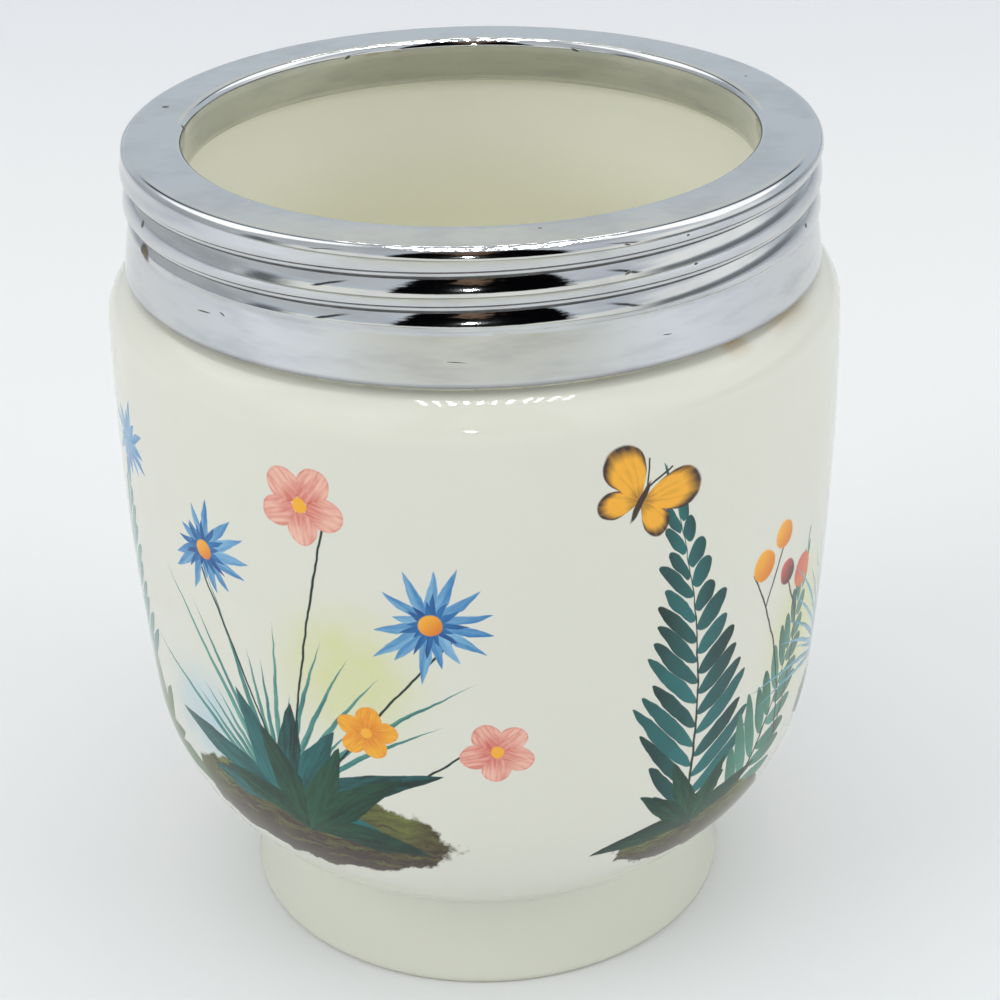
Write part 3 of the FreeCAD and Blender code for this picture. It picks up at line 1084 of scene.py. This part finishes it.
# How far outside the neck the bead of cement lies, the radius of its section, how far it is
# squeezed out at a stain, and the fineness and size of its lumps
BEAD_REACH = 1.1 * MM
BEAD_SECTION = 0.3 * MM
BEAD_SQUEEZE = 0.15 * MM
LUMPS = ((450.0, 0.1), (1300.0, 0.05))


def cement_skin(cup, collar):
    """A thin uneven ring squeezed out under the collar, fullest on the right."""
    mesh = bmesh.new()
    radius = cup.neck_radius + BEAD_REACH
    height = (cup.shoulder_height + collar.foot_height) / 2.0 - BEAD_SECTION * 0.5
    ring = bmesh.ops.create_circle(mesh, cap_ends=False, radius=BEAD_SECTION, segments=12)["verts"]
    upright = Matrix.Rotation(QUARTER_TURN, 3, "X")
    bmesh.ops.rotate(mesh, verts=ring, cent=ORIGIN, matrix=upright)
    bmesh.ops.translate(mesh, verts=ring, vec=(radius, 0.0, height))
    turn_round(mesh, cup.segments)
    for vert in mesh.verts:
        angle = math.atan2(vert.co.x, -vert.co.y)
        middle = Vector((vert.co.x, vert.co.y, 0.0)).normalized() * radius + UP * height
        right = max(1.0 - smooth_share(abs(angle - turn), 0.0, half) for turn, half in STAINS)
        lump = sum(noise.noise(middle * fineness) * size for fineness, size in LUMPS)
        outward = Vector((middle.x, middle.y, 0.0)).normalized() * right * BEAD_SQUEEZE
        vert.co = middle + (vert.co - middle) * (1.0 + lump + right * 0.05) + outward
    return mesh


# Operators ----------------------------------------------------------------------------

# Heights of the printed wall's foot and top, and of the unglazed ring's upper edge
PRINT_FOOT = 12.0 * MM
PRINT_TOP = 60.0 * MM
BISQUE_TOP = 0.25 * MM
# The least share of a printed face's direction that points away from the cup's axis
OUTWARD = 0.3
# Width of the camera's sensor in mm, and its nearest view in metres
SENSOR_WIDTH = 36.0
CLIP_START = 0.01


class CODDLER_OT_cup(bpy.types.Operator):
    """Builds the porcelain cup with its glaze and print"""

    bl_idname = "coddler.cup"
    bl_label = "Porcelain cup"

    def execute(self, context):
        cup = context.scene.coddler_cup
        colours = context.scene.coddler_colours
        mesh = cup_skin(cup)
        bmesh.ops.remove_doubles(mesh, verts=mesh.verts[:], dist=WELD)
        bmesh.ops.recalc_face_normals(mesh, faces=mesh.faces[:])
        for face in mesh.faces:
            middle = face.calc_center_median()
            outward = face.normal.dot(Vector((middle.x, middle.y, 0.0)).normalized())
            if PRINT_FOOT < middle.z < PRINT_TOP and outward > OUTWARD:
                turn = math.atan2(middle.x, abs(middle.y))
                face.material_index = 1 if turn < PRINT_SEAM else 2
            elif middle.z < BISQUE_TOP:
                face.material_index = 3
        materials = [
            glaze_surface("porcelain_glaze", colours),
            glaze_surface("porcelain_left_print", colours, LEFT_PRINT),
            glaze_surface("porcelain_right_print", colours, RIGHT_PRINT),
            bisque_surface(colours),
        ]
        piece = finish_piece(mesh, "cup_body", materials)
        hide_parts("porcelain_cup")
        return {"FINISHED"}


class CODDLER_OT_collar(bpy.types.Operator):
    """Builds the chromed collar with its crowned thread"""

    bl_idname = "coddler.collar"
    bl_label = "Chromed collar"

    def execute(self, context):
        mesh = collar_skin(context.scene.coddler_collar)
        material = chrome_surface(context.scene.coddler_colours)
        piece = finish_piece(mesh, "collar_shell", [material], sharp_degrees=50.0)
        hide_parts("threaded_collar")
        return {"FINISHED"}


class CODDLER_OT_cement(bpy.types.Operator):
    """Gives the cement bed its finish and adds the bead squeezed out under the collar"""

    bl_idname = "coddler.cement"
    bl_label = "Cement bed"

    def execute(self, context):
        scene = context.scene
        material = cement_surface(scene.coddler_colours)
        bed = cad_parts["collar_cement"]
        bed.data.materials.clear()
        bed.data.materials.append(material)
        mesh = cement_skin(scene.coddler_cup, scene.coddler_collar)
        bead = finish_piece(mesh, "cement_bead", [material])
        return {"FINISHED"}


class CODDLER_OT_stage(bpy.types.Operator):
    """Lays the floor and sets the world, lamps and camera"""

    bl_idname = "coddler.stage"
    bl_label = "Stage"

    def execute(self, context):
        scene = context.scene
        stage = scene.coddler_stage
        lay_floor(scene.coddler_colours, stage.floor_radius)
        set_world(scene)
        set_lamps(scene)
        data = bpy.data.cameras.new("camera")
        data.lens = stage.lens
        data.sensor_width = SENSOR_WIDTH
        data.clip_start = CLIP_START
        camera = bpy.data.objects.new("camera", data)
        camera.location = (0.0, stage.camera_y, stage.camera_z)
        camera.rotation_euler = stage.camera_turn
        scene.collection.objects.link(camera)
        scene.camera = camera
        scene.view_settings.view_transform = "Standard"
        return {"FINISHED"}


def lay_floor(colours, radius):
    """A round paper floor with painted light and shade: plain near the cup, a little darker beyond, cooler
    at the sides.
    """
    mesh = bmesh.new()
    bmesh.ops.create_circle(mesh, cap_ends=True, radius=radius, segments=96)
    material, surface, place = new_material("floor_paper")
    x, y, _ = split(place)
    colour = blend(noise_at(place, 6.0), colours.floor, paint(239, 240, 239))
    # Painted light and shade: these tones stand in for how the light falls across the floor
    for share, tone in (
        (y.ramp(0.16, 0.36) * 0.8, paint(237, 239, 242)),
        (y.ramp(0.06, -0.05) * 0.9, paint(229, 231, 232)),
        (x.size().ramp(0.15, 0.4), paint(230, 233, 238)),
        (y.ramp(-0.15, -0.7), paint(222, 221, 206)),
    ):
        colour = blend(share, colour, tone)
    # A glow that only the camera sees joins the floor's far edge to the backdrop
    far = (x * x + y * y).ramp(0.2, 2.2)
    seen = out(place.tree.nodes.new("ShaderNodeLightPath"), "Is Camera Ray")
    fill(surface, Base_Color=colour, Roughness=0.8, Specular_IOR_Level=0.1)
    fill(surface, Emission_Color=BACKDROP, Emission_Strength=seen * (far * 0.42 + 0.04))
    add_object(mesh, "floor", [material])


def set_world(scene):
    """Soft light all round; metal sees a pale room with a dark doorway in front."""
    scene.world = bpy.data.worlds.new("room")
    tree = blank_tree(scene.world)
    place = out(tree.nodes.new("ShaderNodeTexCoord"), "Generated")
    x, y, z = split(place)
    azimuth = right_turn(x, y)
    side = azimuth.size()
    elevation = z.calc("ARCSINE")
    ragged = noise_at(place, 9.0, 4.0, 0.7) - 0.5
    edge = elevation + ragged * 0.06
    on_left = (azimuth + 1.2).size() + ragged * 0.2
    behind = overlap((elevation, 0.34, 0.38), (side, 2.8, 3.0))
    room = blend(behind, paint(207, 215, 223), paint(224, 225, 218))
    upper_wall = blend(azimuth.ramp(-0.9, 0.0), paint(204, 208, 212), paint(218, 223, 230))
    # The room's parts, each laid over the last where its ramps overlap, in radians: low
    # front, ceiling, upper walls, right window, low right, low left, its dark middle and
    # the high windows
    for colour, *ramps in (
        (paint(252, 253, 248), (elevation, 0.26, 0.18), (side, 1.6, 0.9)),
        (paint(196, 200, 206), (elevation, 0.75, 1.0)),
        (upper_wall, (side, 0.46, 0.58), (side, 2.4, 1.9), (elevation, 0.3, 0.42), (elevation, 1.0, 0.85)),
        (WINDOW, (azimuth, 0.85, 1.1), (azimuth, 2.0, 1.7), (edge, 0.13, 0.2), (edge, 0.6, 0.4)),
        (paint(128, 133, 137), (azimuth, 0.8, 1.1), (azimuth, 2.5, 1.9), (edge, 0.19, 0.07)),
        (paint(188, 192, 196), (azimuth, -1.3, -1.45), (azimuth, -2.55, -2.25), (edge, 0.5, 0.3)),
        (paint(118, 122, 128), (on_left, 0.22, 0.02), (edge, 0.36, 0.18)),
        (HIGH_WINDOW, (side, 1.44, 1.58), (side, 2.5, 2.4), (elevation, 0.48, 0.6), (elevation, 1.3, 1.15)),
    ):
        room = blend(overlap(*ramps), room, colour)
    post = overlap(((side - 2.66).size(), 0.1, 0.05), (elevation, 0.4, 0.5), (elevation, 1.05, 0.95))
    leaning = (side - 0.84 + (elevation - 0.3) * 0.32).size()
    stand = overlap((leaning, 0.034, 0.012), (elevation, 0.12, 0.17), (elevation, 0.56, 0.4))
    room = blend(post.most(stand), room, paint(70, 73, 78))
    from_door = (azimuth - 0.03).size() + ragged * 0.2 + (elevation - 0.3) * 0.12
    sill = elevation + ragged * 0.04
    lintel = elevation + ragged * 0.1
    door = overlap((from_door, 0.51, 0.45), (sill, 0.12, 0.16), (lintel, 1.18, 1.1))
    from_figure = (azimuth + 0.04).size() * 1.5 + (elevation - 0.85).size() * 1.1 + ragged * 1.1
    dark = blend(from_figure.ramp(0.42, 0.2), paint(5, 5, 7), paint(128, 104, 88))
    path = tree.nodes.new("ShaderNodeLightPath")
    shiny = out(path, "Is Glossy Ray")
    camera = out(path, "Is Camera Ray")
    colour = blend(shiny, SOFT_LIGHT, blend(door, room, dark))
    colour = blend(camera, colour, BACKDROP)
    strength = shiny.most(camera) * 0.35 + 0.65
    background = add_node(tree, "ShaderNodeBackground", Color=colour, Strength=strength)
    output = tree.nodes.new("ShaderNodeOutputWorld")
    tree.links.new(background.outputs[0], output.inputs[0])


def add_lamp(scene, name, kind, place, watts, size):
    """Adds a lamp that faces the cup; size is a disk's width or a point's radius."""
    data = bpy.data.lights.new(name, kind)
    data.energy = watts
    if kind == "AREA":
        data.shape = "DISK"
        data.size = size
    else:
        data.shadow_soft_size = size
    lamp = bpy.data.objects.new(name, data)
    lamp.location = place
    lamp.rotation_euler = (LAMP_AIM - Vector(place)).to_track_quat("-Z", "Y").to_euler()
    scene.collection.objects.link(lamp)
    return lamp


def sky_place(turn, rise):
    """A sparkle's place: turned to the right and risen from the back over the top, in degrees."""
    flat = math.cos(math.radians(turn))
    tilt = math.radians(rise)
    across = math.sin(math.radians(turn))
    return Vector((across, flat * math.cos(tilt), flat * math.sin(tilt))) * SKY_REACH


def sky_turn(place):
    """Faces a lamp to the cup's foot, with its long side from front to back."""
    away = place.normalized()
    along = Vector((0.0, -away.z, away.y)).normalized()
    return Matrix((along.cross(away), along, away)).transposed().to_euler()


def set_lamps(scene):
    """Soft lamps that only light, and rows of small ones that only sparkle."""
    for name, place, watts, size in SOFT_LAMPS:
        add_lamp(scene, name, "AREA", place, watts, size).visible_glossy = False
    for name, place, watts in BOWL_LAMPS:
        bowl = add_lamp(scene, name, "POINT", place, watts, BOWL_LAMP_RADIUS)
        bowl.data.color = CREAM_LIGHT
        bowl.visible_glossy = False
        bowl.visible_camera = False
    chance = random.Random(4)
    for row, (rise, tall, width, power, count, half_turn, shift) in enumerate(SPARKLE_ROWS):
        for index in range(count):
            turn = half_turn * (2.0 * index / (count - 1) - 1.0) + shift + chance.uniform(-0.25, 0.25)
            place = sky_place(turn, rise + chance.uniform(-1.0, 1.0))
            height = tall * chance.uniform(0.7, 1.2)
            lamp = add_lamp(scene, f"sparkle_{row}_{index:02d}", "AREA", place, height * power, width)
            lamp.data.shape = "RECTANGLE"
            lamp.data.size_y = height
            lamp.rotation_euler = sky_turn(place)
            lamp.visible_diffuse = False
    add_lamp(scene, *FLASH).visible_diffuse = False


# Colours of light: what the camera sees past the cup, what lights its dull surfaces, what
# its metal sees at the windows, and the light that the cream bowl throws back
BACKDROP = paint(240, 243, 245)
SOFT_LIGHT = (0.8, 0.82, 0.85, 1.0)
WINDOW = (1.05, 1.05, 1.05, 1.0)
HIGH_WINDOW = (1.6, 1.6, 1.6, 1.0)
CREAM_LIGHT = (1.0, 0.97, 0.84)

LAMP_AIM = Vector((0.0, 0.0, 0.04))
# Each lamp: name, place in metres, power in watts and, where they differ, width in metres
SOFT_LAMPS = (
    ("left_softbox", (-0.6, -0.3, 0.45), 1.85, 0.5),
    ("right_softbox", (0.6, -0.25, 0.38), 1.35, 0.5),
    ("overhead_softbox", (0.0, 0.0, 1.1), 2.9, 0.8),
    ("front_softbox", (0.0, -0.8, 0.16), 0.5, 0.4),
)
# Lamps inside the cup, for the light that a glazed bowl keeps
BOWL_LAMPS = (("bowl_lamp", (0.0, 0.0, 0.045), 0.0052), ("bowl_back_lamp", (0.0, 0.016, 0.047), 0.0009))
BOWL_LAMP_RADIUS = 0.006
# Rise from the back over the top in degrees, lamp's length and width in metres, power per
# metre of length, number of lamps, and half turn and shift to the right in degrees, of each row
SPARKLE_ROWS = (
    (80.0, 0.16, 0.011, 1.5, 11, 12.5, 3.0),
    (98.0, 0.16, 0.011, 1.5, 11, 12.5, 3.0),
    (54.0, 0.05, 0.007, 0.25, 18, 10.2, 1.1),
)
SKY_REACH = 0.9
FLASH = ("flash", "POINT", (-0.018, -0.5, 0.222), 1.2, 0.012)


class CODDLER_PT_panel(bpy.types.Panel):
    """Lists the cup's pieces and their sizes"""

    bl_idname = "CODDLER_PT_panel"
    bl_label = "Egg Coddler"
    bl_space_type = "VIEW_3D"
    bl_region_type = "UI"
    bl_category = "Egg Coddler"

    def draw(self, context):
        layout = self.layout
        for operator in STEPS:
            layout.operator(operator.bl_idname)
        for group_name in GROUPS:
            box = layout.box()
            group = getattr(context.scene, group_name)
            for name in group.bl_rna.properties.keys():
                if name not in ("rna_type", "name"):
                    box.prop(group, name)


STEPS = (CODDLER_OT_cup, CODDLER_OT_collar, CODDLER_OT_cement, CODDLER_OT_stage)
GROUPS = {
    "coddler_cup": CupSizes,
    "coddler_collar": CollarSizes,
    "coddler_colours": FinishColours,
    "coddler_stage": StageSettings,
}
CLASSES = (*GROUPS.values(), *STEPS, CODDLER_PT_panel)


def register():
    for cls in CLASSES:
        bpy.utils.register_class(cls)
    for name, group in GROUPS.items():
        setattr(bpy.types.Scene, name, PointerProperty(type=group))


def unregister():
    for name in GROUPS:
        delattr(bpy.types.Scene, name)
    for cls in reversed(CLASSES):
        bpy.utils.unregister_class(cls)


def main():
    register()
    bpy.ops.coddler.cup()
    bpy.ops.coddler.collar()
    bpy.ops.coddler.cement()
    bpy.ops.coddler.stage()


if __name__ == "__main__":
    main()
